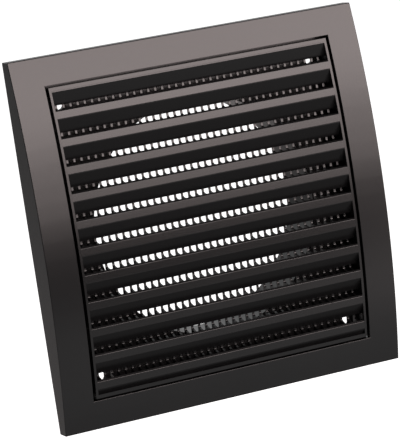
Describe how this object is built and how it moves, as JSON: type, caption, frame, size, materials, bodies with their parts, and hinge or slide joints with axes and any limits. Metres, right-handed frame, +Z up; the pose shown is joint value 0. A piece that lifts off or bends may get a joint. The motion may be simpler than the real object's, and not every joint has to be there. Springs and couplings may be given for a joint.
{
  "type": "square louvred vent grille with round duct spigot",
  "caption": "Square bowed wall vent grille: a frame with a round duct spigot and screw holes, and a push-in panel of sloping louvre blades backed by fine insect bars.",
  "frame": {"origin": "on the duct axis, in the wall plane that the back of the frame lies on", "axes": "+Y along the spigot into the wall, -Y out of the bowed face, +Z up as pictured, +X to the right seen from the front"},
  "size_m": [0.15, 0.0381, 0.15],
  "materials": {
    "frame_plastic": "satin anthracite moulded plastic",
    "panel_plastic": "satin anthracite moulded plastic"
  },
  "bodies": {
    "root": {"frame": "frame_plastic", "louvre_panel": "panel_plastic"}
  },
  "joints": []
}
